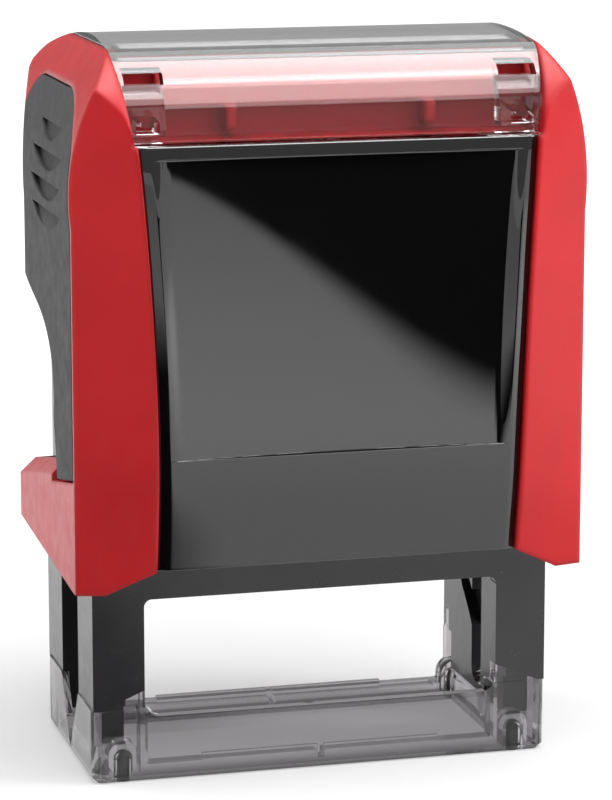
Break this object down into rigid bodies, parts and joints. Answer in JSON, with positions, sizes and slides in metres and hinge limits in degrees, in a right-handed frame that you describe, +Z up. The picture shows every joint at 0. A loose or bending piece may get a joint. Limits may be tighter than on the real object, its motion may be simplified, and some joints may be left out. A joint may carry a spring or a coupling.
{
  "type": "self inking stamp",
  "caption": "Self inking hand stamp: a red cap slides down a black frame on a clear foot and flips the rubber printing plate from its ink pad to the paper.",
  "frame": {"origin": "middle of the flat bottom of the clear foot", "axes": "+Z up along the press direction, +X to the right along the printing plate, -Y to the front"},
  "size_m": [0.0592, 0.0435, 0.0839],
  "materials": {
    "smoky_clear": "smoky transparent moulding, glossy",
    "frame_black": "fine matte moulding",
    "stud_rubber": "matte rubber",
    "spring_steel": "drawn steel wire",
    "tray_black": "matte moulding",
    "ink_felt": "inked felt",
    "cap_red": "satin moulding",
    "panel_black": "polished moulding",
    "grip_grey": "soft-touch surface with crescent finger grooves",
    "window_clear": "clear polished moulding",
    "card_white": "plain paper card",
    "yoke_grey": "matte moulding",
    "axle_steel": "turned steel",
    "carrier_black": "matte moulding",
    "cushion_foam": "fine foam",
    "plate_rubber": "engraved rubber",
    "button_grey": "matte moulding"
  },
  "bodies": {
    "base": {"base_frame": "frame_black", "clear_foot": "smoky_clear", "rubber_studs": "stud_rubber", "return_spring": "spring_steel"},
    "cap": {"cap_shell": "cap_red", "front_panel": "panel_black", "rear_panel": "panel_black", "left_grip": "grip_grey", "right_grip": "grip_grey", "index_window": "window_clear", "index_card": "card_white", "drive_yoke": "yoke_grey", "spring_post": "yoke_grey"},
    "die": {"carrier_axle": "axle_steel", "die_holder": "carrier_black", "left_crank": "carrier_black", "right_crank": "carrier_black", "cushion_layer": "cushion_foam", "text_plate": "plate_rubber"},
    "cartridge": {"ink_tray": "tray_black", "ink_pad": "ink_felt"},
    "lock": {"lock_button": "button_grey"}
  },
  "joints": [
    {"name": "cap_press", "type": "slide", "parent": "base", "child": "cap", "axis": [0, 0, -1], "range_m": [0, 0.021], "stiffness_N_per_m": 300, "springref_m": -0.012, "deforming": ["return_spring"]},
    {"name": "die_flip", "type": "hinge", "parent": "cap", "child": "die", "pos_m": [0, 0, 0.0276], "axis": [1, 0, 0], "range_deg": [0, 180]},
    {"name": "cartridge_slide", "type": "slide", "parent": "base", "child": "cartridge", "axis": [0, 1, 0], "range_m": [0, 0.032]},
    {"name": "lock_push", "type": "slide", "parent": "cap", "child": "lock", "axis": [0, -1, 0], "range_m": [0, 0.001]}
  ],
  "couplings": [
    {"joint": "die_flip", "follows": "cap_press", "rad_per_m": 149.6}
  ]
}
